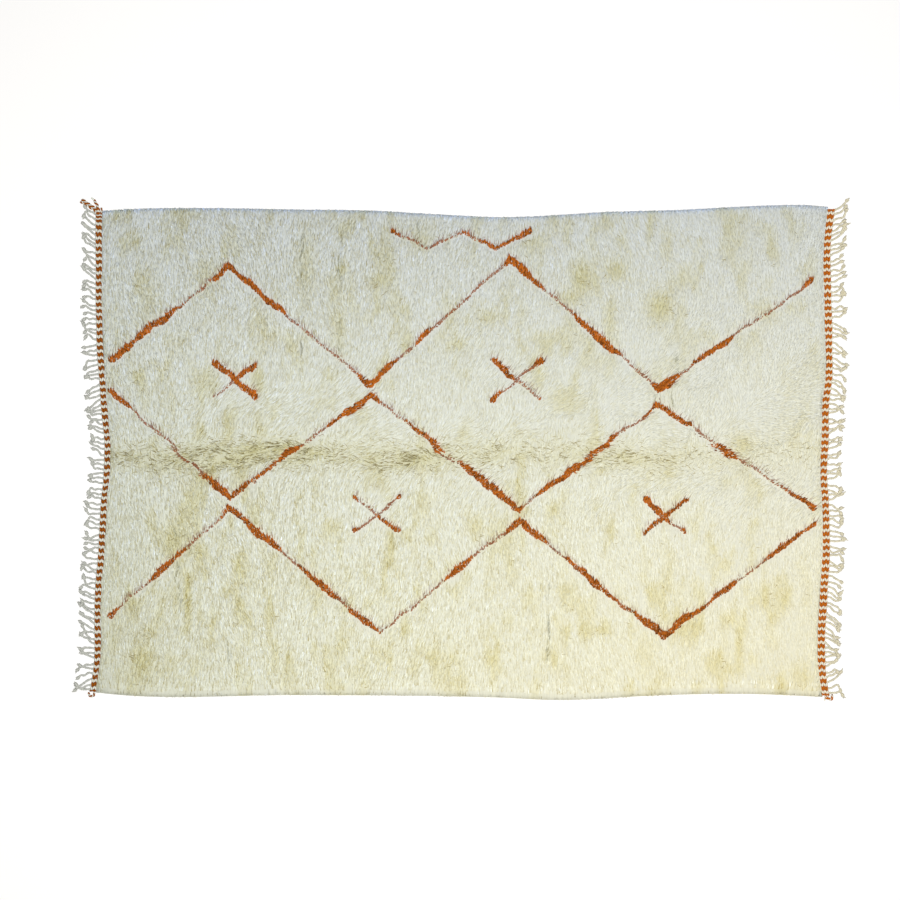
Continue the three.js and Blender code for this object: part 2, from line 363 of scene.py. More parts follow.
# %% Sums and products
class Signal:
    """A value or colour on its way through a material."""

    def __init__(self, recipe, socket):
        self.recipe, self.socket = recipe, socket

    def maths(self, operation, other, turned=False):
        pair = (other, self) if turned else (self, other)
        return self.recipe.step("ShaderNodeMath", {"operation": operation},
                                {0: pair[0], 1: pair[1]})

    def __add__(self, other):
        return self.maths("ADD", other)

    def __sub__(self, other):
        return self.maths("SUBTRACT", other)

    def __rsub__(self, other):
        return self.maths("SUBTRACT", other, turned=True)

    def __mul__(self, other):
        return self.maths("MULTIPLY", other)

    __radd__ = __add__
    __rmul__ = __mul__


# %% Recipes
class Recipe:
    """One material and the steps that make it."""

    def __init__(self, name):
        self.material = bpy.data.materials.new(name)
        self.material.use_nodes = True
        self.tree = self.material.node_tree
        self.surface = next(n for n in self.tree.nodes if n.type == "BSDF_PRINCIPLED")

    def step(self, kind, settings=None, inputs=None, output=0):
        node = self.tree.nodes.new(kind)
        for key, value in (settings or {}).items():
            setattr(node, key, value)
        for key, value in (inputs or {}).items():
            self.feed(node.inputs[key], value)
        return Signal(self, node.outputs[output])

    def feed(self, socket, value):
        if isinstance(value, Signal):
            self.tree.links.new(value.socket, socket)
        else:
            socket.default_value = value

    def finish(self, **inputs):
        for name, value in inputs.items():
            self.feed(self.surface.inputs[name.replace("_", " ")], value)
        return self.material


# %% [markdown]
# ## Wool
# Each lock carries its own tint in its points: darker and warmer at the root, painted shade of the
# deep pile, and paler at the tip, a painted highlight where the tips catch the light. The material
# reads that tint, streaks it along the lock like fibres, and adds the soft sheen of wool. The
# streaks run along the lock because they are drawn on its own flat map.
# Light also seeps through loose wool, so it shades more softly than its hard little faces would.
# The tint's alpha says how far the shading direction is turned upwards for that.

# %% Wool material
def fibre_streaks(recipe, across, along):
    flat_map = recipe.step("ShaderNodeUVMap", {"uv_map": "lock"})
    stretched = recipe.step("ShaderNodeMapping", {}, {"Vector": flat_map,
                                                      "Scale": (across, along, 1)})
    return recipe.step("ShaderNodeTexNoise", {}, {"Vector": stretched, "Scale": 1.0,
                                                  "Detail": 2.0})


def fluffy_normal(recipe, share):
    """A direction between the surface's own and straight up, because light seeps through wool."""
    own = recipe.step("ShaderNodeNewGeometry", output="Normal")
    mixed = recipe.step("ShaderNodeMix", {"data_type": "VECTOR"},
                        {"Factor": share, 4: own, 5: (0, 0, 1)}, output=1)
    return recipe.step("ShaderNodeVectorMath", {"operation": "NORMALIZE"}, {0: mixed})


def make_wool():
    recipe = Recipe("pile wool")
    tint = recipe.step("ShaderNodeVertexColor", {"layer_name": "tint"})
    streaks = fibre_streaks(recipe, 8, 1.0)
    shade = 0.82 + streaks * 0.36
    upright = recipe.step("ShaderNodeVertexColor", {"layer_name": "tint"}, output="Alpha")
    colour = recipe.step("ShaderNodeVectorMath", {"operation": "SCALE"},
                         {0: tint, "Scale": shade})
    bump = recipe.step("ShaderNodeBump", {},
                       {"Height": streaks, "Strength": 0.2, "Distance": 0.002,
                        "Normal": fluffy_normal(recipe, upright)})
    return recipe.finish(Base_Color=colour, Roughness=0.9, Sheen_Weight=0.06,
                         Sheen_Roughness=0.5, Specular_IOR_Level=0.1, Normal=bump)


WOOL = make_wool()
print("The pile wool is mixed in", len(WOOL.node_tree.nodes), "steps")


# %% [markdown]
# ## One lock of wool
# The pile is a great many cut yarn ends. One lock is enough to model: a three-sided cone with one
# corner of its base drawn back to a root, so that it is widest at its belly and pointed at both
# ends. It is kept this plain because it is repeated so often.

# %% Model a lock
BELLY = 0.55


def make_lock():
    """The points and faces of a lock: its root at 0, its belly between and its tip at 1."""
    shape = bmesh.new()
    bmesh.ops.create_cone(shape, cap_ends=True, segments=3, radius1=1, radius2=0, depth=1)
    bmesh.ops.remove_doubles(shape, verts=shape.verts, dist=1e-4)
    shape.verts.index_update()
    tip = max(shape.verts, key=lambda point: point.co.z)
    root = max(shape.verts, key=lambda point: abs(point.co.y) - point.co.z)
    points = np.array([point.co[:] for point in shape.verts])
    points[:, 1:] = (0, BELLY)
    points[tip.index] = (0, 0, 1)
    points[root.index] = (0, 0, 0)
    faces = np.array([[point.index for point in face.verts] for face in shape.faces])
    shape.free()
    return points, faces


def part_of(share, root, belly, tip):
    """Which of three things holds at a share of a lock's length."""
    return root if share < 0.1 else tip if share > 0.9 else belly


LOCK, LOCK_FACES = make_lock()
print("A lock has", len(LOCK), "points and", len(LOCK_FACES), "faces")


# %% [markdown]
# ## Planting the pile
# Every knot holds one lock. Hair or scattered instances could grow them, but the ornament, the
# trodden places and the ruffle all have to steer each lock, so they are worked out as arrays, with
# one number for each lock. The knots come first: one in every cell of a net, anywhere in its cell,
# and a denser net under the rust lines, which keeps their edges crisp.

# %% Plant the locks
KNOT_PITCH = 0.00635
DENSE_PITCH = 0.004
RUSTY = 0.38
SELVEDGE = 0.0012


def net(pitch, chance):
    """One place in every cell of a net over the pile, anywhere in its cell."""
    columns, rows = int(2.96 / pitch), int(1.99 / pitch)
    u, v = np.meshgrid((np.arange(columns) + 0.5) / columns, (np.arange(rows) + 0.5) / rows,
                       indexing="ij")
    u = u.ravel() + chance.uniform(-0.5, 0.5, u.size) / columns
    v = v.ravel() + chance.uniform(-0.5, 0.5, v.size) / rows
    return np.clip(u, SELVEDGE, 1 - SELVEDGE), np.clip(v, SELVEDGE, 1 - SELVEDGE)


chance = np.random.default_rng(5)
wide, dense = net(KNOT_PITCH, chance), net(DENSE_PITCH, chance)
extra = rust_share(*on_pile(*dense)) > RUSTY
u, v = (np.concatenate([w, d[extra]]) for w, d in zip(wide, dense))
# The near rim is planted more closely, to fill its edge.
v = np.where(v < 0.01, 0.7 * v, v)
x, y = on_pile(u, v)
count = len(x)
print(count, "knots,", int(extra.sum()), "of them added under the lines")


# %% How the wool is at each knot
RIM_SHARE = 0.0045

worn = trodden(x, y)
parted = parting(x, y)
rust = rust_share(x, y)
rusty = rust > RUSTY
rim = v < RIM_SHARE
rough = np.clip(0.4 + 0.6 * worn, 0.2, 1) * (1 - 0.4 * calm(x, y))
# The pile is swept along the rug in a broad strip over its middle.
swept = (np.exp(-((y - 0.05) / 0.3) ** 2) * np.clip((x + 1.35) / 0.3, 0, 1)
         * np.clip(0.7 + 1.2 * soft_noise(x, y, 0.14, 0.11, 9), 0, 1))
crease = ruffle(x, y)
along_rug = chance.uniform(0, 1, count) < 1.3 * crease
print(int(along_rug.sum()), "locks lie along the rug in the ruffle, and", int(rusty.sum()),
      "belong to the lines")


# %% [markdown]
# ## How the locks lie
# The locks lie towards the far edge, and more along the rug where use has swept them. They don't
# lie alone: neighbours cling together in narrow clumps, which gives the pile its streaks, and each
# clump has a nature of its own. In the ruffle most locks lie along the rug in waves, and thin
# locks, darkened as painted shade of the furrows, line up between the waves.

# %% Clumps
CLUMP_WIDE = 0.008
CLUMP_LONG = 0.022
CLUMP_KINDS = 4096


def clump_pull(x, y, long_x, long_y, seed):
    """The way from each lock to the middle of its clump, and a number for the clump."""
    column = np.floor((x + 0.004 * soft_noise(x, y, 0.05, 0.05, seed)) / long_x)
    start = np.random.default_rng(seed).uniform(0, 1, 2000)[(column + 900).astype(int)]
    row = np.floor(y / long_y + start)
    middle_x = (column + 0.5) * long_x
    middle_y = (row + 0.5 - start) * long_y
    number = (column * 131 + row * 7919).astype(int) % CLUMP_KINDS
    return np.stack([middle_x - x, middle_y - y], 1), number


pull, clump = clump_pull(x, y, CLUMP_WIDE, CLUMP_LONG, 41)
flat_pull, flat_clump = clump_pull(x, y, CLUMP_LONG, CLUMP_WIDE, 42)
flat = along_rug | (swept > 0.6)
pull = np.where(flat[:, None], flat_pull, pull)
clump = np.where(flat, flat_clump, clump)
nature = np.random.default_rng(43).uniform(-1, 1, (CLUMP_KINDS, 4))[clump]
turn_of, lean_of, length_of, light_of = nature.T
print("The locks gather in", len(np.unique(clump)), "kinds of clump")


# %% Furrows and locks darkened as painted shade
FURROW_PITCH = 0.009

wave_way, across_waves = flow(x, y)
furrow = FURROW_PITCH * np.round(across_waves / FURROW_PITCH)
hollow = soft_noise(x, furrow, 0.04, FURROW_PITCH, 8) > 0.05
# A thin dark lock is painted shade: it stands for a shaded gap in a furrow or in trodden pile.
dark_share = (0.001 + 0.09 * np.clip(worn - 0.25, 0, 1)
              + np.clip(crease, 0, 1) * np.where(hollow, 0.9, 0.17))
dark = (chance.uniform(0, 1, count) < dark_share) & (rust < 0.3) & (v > 0.015)
y = np.where(dark & along_rug, y + furrow - across_waves, y)
print(int(dark.sum()), "thin locks are dark")


# %% Heading, lean and length
LOCK_LENGTH = 0.04
LOCK_LEAN = 69
RUST_LEAN = 0.8
RUST_LENGTH = 0.013
RUST_LENGTH_MORE = 0.009

heading = np.radians(90 - swept * (70 + 30 * x) + 15 * soft_noise(x, y, 0.3, 0.4, 1)
                     + 22 * rough * soft_noise(x, y, 0.07, 0.08, 2)
                     + rough * (14 * turn_of + chance.normal(0, 10, count)))
sideways = (wave_way + np.where(soft_noise(x, y, 0.3, 0.04, 3) > 0, 0, np.pi)
            + chance.normal(0, 0.1, count))
heading = np.where(along_rug, sideways, heading)
heading = np.where(dark & ~along_rug, sideways + chance.normal(0, 0.5, count), heading)
lean = np.radians(LOCK_LEAN + 2 * soft_noise(x, y, 0.12, 0.16, 4)
                  + rough * (8 * lean_of + chance.normal(0, 6, count)))
lean -= np.where(along_rug & ~dark, 0.24, 0)
lean = np.clip(np.where(rusty, RUST_LEAN, lean), 0.6, 1.3)
length = LOCK_LENGTH * (1 - 0.08 * np.clip(worn, 0, 1)
                        + rough * (0.1 * length_of + chance.normal(0, 0.06, count)))
length *= np.where(dark, 0.9, np.where(along_rug | rim, 0.66, 1))
rust_length = (RUST_LENGTH + RUST_LENGTH_MORE * rust) * chance.normal(1, 0.2, count)
length = np.where(rusty, rust_length, length)
print("The locks lean", round(float(np.degrees(lean).mean())), "degrees on average")


# %% Keep the lines clear
def clear_of_rust(x, y, way, reach):
    """How much of an ivory lock may stay, so that it doesn't hide a rust line."""
    clear = np.ones(len(x))
    for share in (1.0, 0.85, 0.7):
        over = rust_share(x + share * reach * way[:, 0], y + share * reach * way[:, 1]) > RUSTY
        clear = np.where(over, share - 0.1, clear)
    return clear


OUTWARD_SHARE = 0.35

way = np.stack([np.cos(heading), np.sin(heading)], 1)
shore = rim & (chance.uniform(0, 1, count) < OUTWARD_SHARE)
way[:, 1] = np.where(shore, -np.abs(way[:, 1]), way[:, 1])
clear = np.where(rusty, 1, clear_of_rust(x, y, way, length * np.sin(lean)))
length *= clear
print(int((clear < 1).sum()), "ivory locks are cut short beside the lines")


# %% Bend the locks
ROOT_HEIGHT = 0.006
RUST_ABOVE = 0.0028
DARK_ABOVE = 0.002
LOWEST = 0.005


def keep_inside(place, chance):
    """Lock points past the rug's outline are laid on it, and hang over a long edge."""
    x, y = place[:, 0].copy(), place[:, 1].copy()
    slack = chance.uniform(-0.001, 0.002, len(x))
    place[:, 0] = np.clip(x, pile_left(y) - slack, pile_right(y) + slack)
    place[:, 1] = np.clip(y, near_edge(x) - slack, far_edge(x) + slack)
    place[:, 2] = np.maximum(place[:, 2] - 0.75 * np.abs(y - place[:, 1]), LOWEST)


reach = (length * np.sin(lean))[:, None] * way + (0.1 + 0.5 * rough)[:, None] * pull
sunk = np.where(rim, ground_height(x, y, u, v) + 0.0003, ROOT_HEIGHT)
rise = length * np.cos(lean) + ROOT_HEIGHT - sunk
root = np.column_stack([x, y, sunk])
belly = root + np.column_stack([np.where(rim, 0.2, 0.45)[:, None] * reach,
                                np.where(rim, 0.4, 0.88) * rise])
tip = root + np.column_stack([reach, rise])
for place in (belly, tip):
    place[:, 2] += np.where(rusty, RUST_ABOVE, DARK_ABOVE * dark)
    keep_inside(place, chance)
print("The tips lie", round(1000 * float(tip[:, 2].mean()), 1), "mm above the floor on average")


# %% [markdown]
# ## The locks' tints
# No two locks have quite the same tone. Clumps differ, trodden wool is yellower, roots are darker
# than tips as painted shade and highlight, and the thin locks of the furrows are darkened as
# painted shade. The two long rims are tinted with painted cool light, bluer and lighter at the edge.
# The tint's alpha tells the wool material how far to turn its shading upwards.

# %% Ivory tints
# A lock's lightness varies at random, its own tone; darker ones are also yellower, as painted warm
# shade.
LIGHT_BY_CHANNEL = np.array([0.8, 1, 1.7])
# The crease's wool is darkened and yellowed as painted shade.
RUFFLE_PAINTED_SHADE = np.array([0.05, 0.06, 0.16])
# Where a parting stands, the wool is darkened as painted shade of its roots.
PARTING_PAINTED_SHADE = np.array([0.45, 0.45, 0.5])
GAP_PAINTED_SHADE = np.array([0.6, 0.53, 0.38])
GAP_PAINTED_SHADE_IN_RUFFLE = np.array([0.2, 0.17, 0.12])

uneven = np.clip(worn, 0.65, 1) * (1 - 0.6 * calm(x, y))
# Near the near rim the locks' own random tones vary more, standing in for its strokes of shade.
uneven = np.where(y - near_edge(x) < 0.03, 0.7, uneven)
light = 1 + uneven * (0.09 * light_of + chance.normal(0, 0.2, count))
crease = np.clip(ruffle(x, y), 0, 1)
ivory = to_linear(wool_tone_and_painted_shade(x, y)) * light[:, None] ** LIGHT_BY_CHANNEL
for amount, loss in ((crease, RUFFLE_PAINTED_SHADE), (worn, STAIN), (parted, PARTING_PAINTED_SHADE)):
    ivory *= 1 - amount[:, None] * loss
# Thin locks that stand for shaded gaps are darkened: painted shade, more in the ruffle.
ivory *= np.where(dark[:, None], GAP_PAINTED_SHADE - crease[:, None] * GAP_PAINTED_SHADE_IN_RUFFLE, 1)
print("Ivory wool, darkest and lightest red:", ivory[:, 0].min().round(2),
      ivory[:, 0].max().round(2))


# %% Rust tints
RUST_DYE = display_colour(155, 87, 27)
FADED_DYE = display_colour(112, 60, 46)
FAINT = 0.35

shaded = np.where(chance.uniform(0, 1, count) < 0.27, 0.45, 1.1)
dyed = RUST_DYE * (shaded * (1 + 0.18 * light_of + chance.normal(0, 0.15, count)))[:, None]
faded = 0.2 * ivory + 0.8 * FADED_DYE
full = (np.clip(rust - FAINT, 0, 1) / (1 - FAINT))[:, None] ** 0.5
slight = np.clip(rust / FAINT, 0, 1)[:, None]
colour = full * dyed + (1 - full) * (slight * faded + (1 - slight) * ivory)
print(int((rust > FAINT).sum()), "locks are dyed, more or less")


# %% Tints from root to tip
# Painted shade at the root and belly, and a painted highlight at the tip.
ROOT_PAINTED_SHADE = (0.94, 0.84, 0.6)
BELLY_PAINTED_SHADE = (0.985, 0.95, 0.85)
TIP_PAINTED_HIGHLIGHT = (1.02, 1.01, 1)
# Painted cool light along the far and the near rim, strongest at the edge.
FAR_RIM_PAINTED_LIGHT = np.array([-0.08, 0.05, 0.4])
NEAR_RIM_PAINTED_LIGHT = np.array([0.08, 0.06, 0.24])

tints = np.empty((count, len(LOCK), 4))
tints[..., 3] = (0.3 + 0.42 * calm(x, y) - 0.08 * np.clip(worn, 0, 1))[:, None]
for i, share in enumerate(LOCK[:, 2]):
    place = part_of(share, root, belly, tip)
    tone = np.array(part_of(share, ROOT_PAINTED_SHADE, BELLY_PAINTED_SHADE, TIP_PAINTED_HIGHLIGHT))
    far = np.clip(1 - (far_edge(place[:, 0]) - place[:, 1]) / 0.012, 0, 1)[:, None]
    near = np.clip(1 - (place[:, 1] - near_edge(place[:, 0])) / 0.005, 0, 1)[:, None]
    tints[:, i, :3] = colour * tone * (1 + far * FAR_RIM_PAINTED_LIGHT + near * NEAR_RIM_PAINTED_LIGHT)
tints = np.clip(tints, 0, 1)
print("Every lock has", tints.shape[1], "tints")


# %% [markdown]
# ## From arrays to meshes
# The template lock is bent along each root, belly and tip, a little flattened and turned by chance.
# All the locks of a piece are then one mesh, because a hundred thousand separate objects would be
# far too slow. The pile is four pieces, to keep each one light enough to handle.

# %% Shape the locks
LOCK_RADIUS = 0.0026
LOCK_FLATNESS = 0.6
PILE_TOP = 0.033


def unit(lines):
    """The same lines, each with a length of one."""
    return lines / np.maximum(np.linalg.norm(lines, axis=1), 1e-9)[:, None]


line = unit(tip - belly)
beside = unit(np.cross(line, [0, 0, 1.0]))
above = np.cross(beside, line)
spin = chance.normal(0, 0.4, count)
slim = np.where(dark, 0.6, np.where(rusty, 1.2, 1))
width = LOCK_RADIUS * slim * chance.uniform(0.8, 1.2, count)
points = np.empty((count, len(LOCK), 3))
for i, (px, py, share) in enumerate(LOCK):
    around = np.arctan2(py, px) + spin
    spread = width * np.hypot(px, py) * part_of(share, 0, 1, 0)
    points[:, i] = (part_of(share, root, belly, tip)
                    + (spread * np.cos(around))[:, None] * beside
                    + (LOCK_FLATNESS * spread * np.sin(around))[:, None] * above)
points[..., :2] += SHIFT
points[..., 2] = np.clip(points[..., 2], 0.001, PILE_TOP)
print("The highest tip is at", round(1000 * points[..., 2].max(), 1), "mm")


# %% Join the locks
PILE_PIECES = 4


def placed(name, data):
    """A mesh, curve, light or camera put into the scene, at the frame's own zero."""
    piece = bpy.data.objects.new(name, data)
    bpy.context.scene.collection.objects.link(piece)
    return piece


def tinted(mesh, tints):
    """Gives every point of a mesh its tint."""
    layer = mesh.attributes.new("tint", "FLOAT_COLOR", "POINT")
    layer.data.foreach_set("color", tints.astype(np.float32).ravel())
    mesh.polygons.foreach_set("use_smooth", np.ones(len(mesh.polygons), bool))


def join_locks(name, points, tints, chance):
    """One mesh of many locks, from their points and tints."""
    count = len(points)
    faces = (LOCK_FACES[None] + len(LOCK) * np.arange(count)[:, None, None]).reshape(-1, 3)
    mesh = bpy.data.meshes.new(name)
    mesh.vertices.add(count * len(LOCK))
    mesh.vertices.foreach_set("co", points.astype(np.float32).ravel())
    mesh.loops.add(faces.size)
    mesh.loops.foreach_set("vertex_index", faces.astype(np.int32).ravel())
    mesh.polygons.add(len(faces))
    mesh.polygons.foreach_set("loop_start", np.arange(0, faces.size, 3, dtype=np.int32))
    mesh.update(calc_edges=True)
    tinted(mesh, tints)
    turn = np.arctan2(LOCK[:, 1], LOCK[:, 0]) / (2 * np.pi) + 0.5
    own = np.stack([turn, LOCK[:, 2]], 1)[None] + chance.uniform(0, 30, (count, 1, 2))
    flat = mesh.uv_layers.new(name="lock")
    flat.data.foreach_set("uv", own.reshape(-1, 2)[faces.ravel()].astype(np.float32).ravel())
    mesh.materials.append(WOOL)
    return placed(name, mesh)


pile_locks = []
for i in range(PILE_PIECES):
    some = slice(i * count // PILE_PIECES, (i + 1) * count // PILE_PIECES)
    pile_locks.append(join_locks(f"pile_locks_{i + 1}", points[some], tints[some], chance))
    print(pile_locks[-1].name, "has", len(pile_locks[-1].data.polygons), "faces")


# %% [markdown]
# ## The ground weave
# Under the pile lies the weave that holds the knots, thick with under-wool. It is one closed slab:
# a fine grid, raised to a second layer, with both layers moved to the outline and the upper one to
# its height. Its underside shows the backs of the knots, so the ornament shows there too, and its
# ribs run across the rug. A single sheet would carry the tints as well, but the rug would then
# show no thickness at its edge.

# %% Ground material
def make_ground_material():
    recipe = Recipe("ground weave")
    tint = recipe.step("ShaderNodeVertexColor", {"layer_name": "tint"})
    place = recipe.step("ShaderNodeTexCoord", {}, output="Object")
    ribs = recipe.step("ShaderNodeTexWave", {"bands_direction": "X"},
                       {"Vector": place, "Scale": 60.0, "Distortion": 0.6, "Detail": 1.0,
                        "Detail Scale": 3.0})
    knots = recipe.step("ShaderNodeTexWave", {"bands_direction": "Y"},
                        {"Vector": place, "Scale": 45.0, "Distortion": 0.8, "Detail": 1.0,
                         "Detail Scale": 3.0})
    below = recipe.step("ShaderNodeVertexColor", {"layer_name": "tint"}, output="Alpha")
    fibres = recipe.step("ShaderNodeMapping", {}, {"Vector": place, "Scale": (170, 25, 25)})
    fuzz = recipe.step("ShaderNodeTexNoise", {}, {"Vector": fibres, "Scale": 1.0, "Detail": 4.0,
                                                  "Roughness": 0.7})
    weave = below * (ribs * 0.6 + knots * 0.4) + (1 - below) * (fuzz * 2.2 - 0.6)
    colour = recipe.step("ShaderNodeVectorMath", {"operation": "SCALE"},
                         {0: tint, "Scale": 0.87 + weave * 0.26})
    bump = recipe.step("ShaderNodeBump", {}, {"Height": weave, "Strength": 0.5 + below * 0.3,
                                              "Distance": 0.002})
    return recipe.finish(Base_Color=colour, Roughness=0.95, Specular_IOR_Level=0.1, Normal=bump)


# %% Ground slab
GROUND_STEP = 0.0185
BACK_DYE = display_colour(190, 92, 38)


def make_ground():
    across, along = int(2.0 / GROUND_STEP), int(2.98 / GROUND_STEP)
    shape = bmesh.new()
    bmesh.ops.create_grid(shape, x_segments=along, y_segments=across, size=0.5)
    raised = bmesh.ops.extrude_face_region(shape, geom=list(shape.faces), use_keep_orig=True)
    top = {item for item in raised["geom"] if isinstance(item, bmesh.types.BMVert)}
    for point in shape.verts:
        point.co.z = 1 if point in top else 0
    bmesh.ops.recalc_face_normals(shape, faces=shape.faces)
    mesh = bpy.data.meshes.new("ground")
    shape.to_mesh(mesh)
    shape.free()
    co = np.empty(len(mesh.vertices) * 3, np.float32)
    mesh.vertices.foreach_get("co", co)
    co = co.reshape(-1, 3).astype(float)
    u, v = co[:, 0] + 0.5, co[:, 1] + 0.5
    x, y = on_pile(u, v)
    z = np.where(co[:, 2] > 0.5, ground_height(x, y, u, v), 0.0)
    place = np.stack([x + SHIFT[0], y + SHIFT[1], z], 1)
    mesh.vertices.foreach_set("co", place.astype(np.float32).ravel())
    under = co[:, 2] < 0.5
    rust = rust_share(x, y)[:, None]
    wool = to_linear(wool_tone_and_painted_shade(x, y)) * (1 - trodden(x, y)[:, None] * STAIN)
    wool *= np.array([1, 0.985, 0.95])
    colour = np.where(under[:, None] & (rust > 0.5), BACK_DYE, wool)
    tinted(mesh, np.column_stack([colour, under]))
    mesh.materials.append(make_ground_material())
    mesh.update()
    print("The ground weave has", len(mesh.polygons), "faces")
    return placed("ground_weave", mesh)


ground = make_ground()


# %% [markdown]
# ## Yarn
# The bands and the fringe are made of plied yarn: two strands wound round each other. A bump could
# fake the twist, but its edge would stay straight. So a strand is a curve with thickness, wound as
# a helix round the yarn's middle line, and all the curves of one piece are turned into one mesh.
# The yarn is patchy and fuzzy, and darker low down, where its strands shade each other.

# %% Yarn materials
def make_yarn(name, colour, spread, low, high, deep=0.45):
    """A yarn of one dye, in display values, patchy, and darker between two heights."""
    recipe = Recipe(name)
    place = recipe.step("ShaderNodeTexCoord", {}, output="Object")
    patches = recipe.step("ShaderNodeTexNoise", {}, {"Vector": place, "Scale": 90.0,
                                                     "Detail": 3.0})
    fuzz = recipe.step("ShaderNodeTexNoise", {}, {"Vector": place, "Scale": 900.0,
                                                  "Detail": 2.0})
    plain = display_colour(*colour)
    height = recipe.step("ShaderNodeSeparateXYZ", {}, {"Vector": place}, output="Z")
    depth = recipe.step("ShaderNodeMapRange", {}, {"Value": height, "From Min": low,
                                                   "From Max": high, "To Min": deep})
    shade = (1 - spread + patches * spread + fuzz * spread) * depth
    tone = recipe.step("ShaderNodeVectorMath", {"operation": "SCALE"},
                       {0: tuple(plain), "Scale": shade})
    bump = recipe.step("ShaderNodeBump", {}, {"Height": fuzz, "Strength": 0.6,
                                              "Distance": 0.001})
    return recipe.finish(Base_Color=tone, Roughness=0.9, Specular_IOR_Level=0.1, Normal=bump)


# After the dye come how patchy it is, the heights between which it darkens, and how far.
# The left yarns are darker than the right ones: painted shade, as the light falls off to the left.
LEFT_YARNS = [make_yarn("left rust yarn", (138, 74, 12), 0.55, 0.0042, 0.0092, 0.32),
              make_yarn("left cream yarn", (206, 208, 198), 0.2, 0.0014, 0.004)]
RIGHT_YARNS = [make_yarn("right rust yarn", (179, 97, 22), 0.5, 0.0052, 0.01, 0.32),
               make_yarn("right cream yarn", (220, 215, 197), 0.2, 0.0014, 0.004)]
LEFT_WARP = make_yarn("left warp cord", (184, 186, 179), 0.45, 0.0025, 0.007)
RIGHT_WARP = make_yarn("right warp cord", (211, 205, 181), 0.45, 0.0025, 0.007)
print("Yarns:", [yarn.name for yarn in (*LEFT_YARNS, *RIGHT_YARNS, LEFT_WARP, RIGHT_WARP)])


# %% Lines through a few points
def even_steps(line, step):
    """The same line with its points one step apart."""
    line = np.asarray(line, float)
    run = np.concatenate([[0], np.cumsum(np.linalg.norm(np.diff(line, axis=0), axis=1))])
    marks = np.linspace(0, run[-1], max(3, int(round(run[-1] / step)) + 1))
    return np.stack([np.interp(marks, run, line[:, i]) for i in range(3)], 1), marks


def rounded(points, count=24):
    """A smooth line through a few given points."""
    points = np.asarray(points, float)
    marks = np.arange(len(points))
    fine = np.linspace(0, len(points) - 1, count)
    return np.stack([curve_through(np.stack([marks, points[:, i]], 1))(fine) for i in range(3)], 1)


curl = rounded([(0, 0, 0), (1, 1, 0), (2, 0, 0)])
print("A curl through 3 points is rounded to", len(curl), "points")


# %% Winding a strand
def wound(line, sway, lift, turn, phase, hand=1, steps=8, drift=None):
    """One strand wound round a level line, and how high it rides from -1 to 1."""
    line, marks = even_steps(line, turn / steps)
    if drift is not None:
        phase = phase + drift(line[:, 1])
    ahead = unit(np.gradient(line, axis=0))
    beside = unit(np.cross(ahead, [0, 0, 1.0]))
    above = np.cross(beside, ahead)
    angle = 2 * np.pi * marks / turn + phase
    path = line + (hand * sway * np.cos(angle))[:, None] * beside
    return path + (lift * np.sin(angle))[:, None] * above, np.sin(angle)


strand, _ = wound([(0, 0, 0), (0.1, 0, 0)], 0.0022, 0.0022, 0.015, 0)
strand_length = np.linalg.norm(np.diff(strand, axis=0), axis=1).sum()
print("100 mm of cord takes", round(1000 * strand_length), "mm of each strand")


# %% Yarn as one mesh
class YarnPiece:
    """Strands that end up as one mesh, each with its thickness and its material."""

    def __init__(self, name, materials, sides=6):
        self.name = name
        self.curve = bpy.data.curves.new(name, "CURVE")
        self.curve.dimensions = "3D"
        self.curve.bevel_depth = 1.0
        self.curve.bevel_resolution = (sides - 4) // 2
        self.curve.use_fill_caps = True
        for material in materials:
            self.curve.materials.append(material)

    def strand(self, points, radius, material=0):
        spline = self.curve.splines.new("POLY")
        spline.points.add(len(points) - 1)
        spline.points.foreach_set("co", np.column_stack([points, np.ones(len(points))]).ravel())
        spline.points.foreach_set("radius", np.broadcast_to(radius, len(points)).astype(float))
        spline.material_index = material
        spline.use_smooth = True

    def two_ply(self, line, half, radius, turn, steps):
        for phase in (0, np.pi):
            self.strand(wound(line, half, half, turn, phase, steps=steps)[0], radius)

    def finish(self):
        maker = placed(self.name + "_curve", self.curve)
        graph = bpy.context.evaluated_depsgraph_get()
        mesh = bpy.data.meshes.new_from_object(maker.evaluated_get(graph))
        bpy.data.objects.remove(maker)
        shape = bmesh.new()
        shape.from_mesh(mesh)
        bmesh.ops.remove_doubles(shape, verts=shape.verts, dist=1e-6)
        bmesh.ops.recalc_face_normals(shape, faces=shape.faces)
        bmesh.ops.triangulate(shape, faces=[f for f in shape.faces if len(f.verts) > 4])
        shape.to_mesh(mesh)
        shape.free()
        mesh.name = self.name
        print(self.name, "has", sum(len(p.vertices) - 2 for p in mesh.polygons), "triangles")
        return placed(self.name, mesh)


# %% [markdown]
# ## The twined bands
# Each band is a few rows of twining: a rust and a cream strand twisted round each other, every row
# twisted the other way than its neighbour. The rust strand comes up at nearly the same places in
# all the rows, which makes blocks with a zigzag edge. It is the thicker and higher of the two. The
# left band has three rows, the right one four, and a thin cream cord runs along each side.

# %% Twined bands
# A full turn of the strands makes one rust block and one cream one. In the table a row is a
# strand: its yarn, the turn it starts at, and its height and thickness as shares of a row's width.
BLOCK = 0.0289
TWINED = [(0, 0, 0.62, 0.47), (1, np.pi, 0.46, 0.42)]
SWAY = 0.1
LIFT = 0.24
SWELL = 0.07
LEFT_ROWS = 3
RIGHT_ROWS = 4
EDGE_ROOM = 0.0015


def row_line(band, offset, low, high, seed, height):
    y = np.arange(low, high, 0.008)
    wobble = 0.0003 * np.sin(y / 0.011 + seed) + 0.0008 * np.sin(y / 0.037)
    x = band(y) + offset + wobble
    return np.column_stack([x + SHIFT[0], y + SHIFT[1], np.full(len(y), height)])


